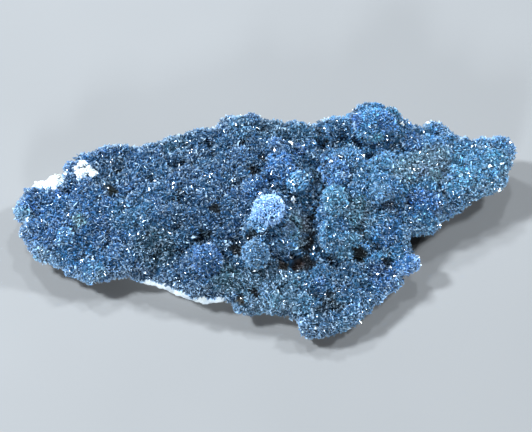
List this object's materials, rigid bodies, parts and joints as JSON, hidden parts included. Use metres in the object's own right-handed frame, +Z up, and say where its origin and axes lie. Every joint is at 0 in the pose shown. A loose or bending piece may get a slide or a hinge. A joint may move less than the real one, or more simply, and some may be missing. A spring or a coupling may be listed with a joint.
{
  "type": "vauxite crystal specimen",
  "caption": "Plate of white rock covered by a crust of small blue vauxite crystals grown in rounded clusters, resting flat on its underside.",
  "frame": {"origin": "centre of the bounding box's bottom face, on the surface that the specimen rests on", "axes": "+X along the plate to the thin right-hand wing, +Y from the front edge with the bare rim to the knob at the back, +Z up from the flat underside"},
  "size_m": [0.072, 0.0348, 0.0122],
  "materials": {
    "vauxite": "glassy to vitreous blue crystal faces, from indigo in the hollows to pale sky blue on the clusters",
    "white_matrix": "matt, granular white rock, broken at the edge and flat below"
  },
  "bodies": {
    "root": {"vauxite_crust": "vauxite", "white_matrix": "white_matrix"}
  },
  "joints": []
}
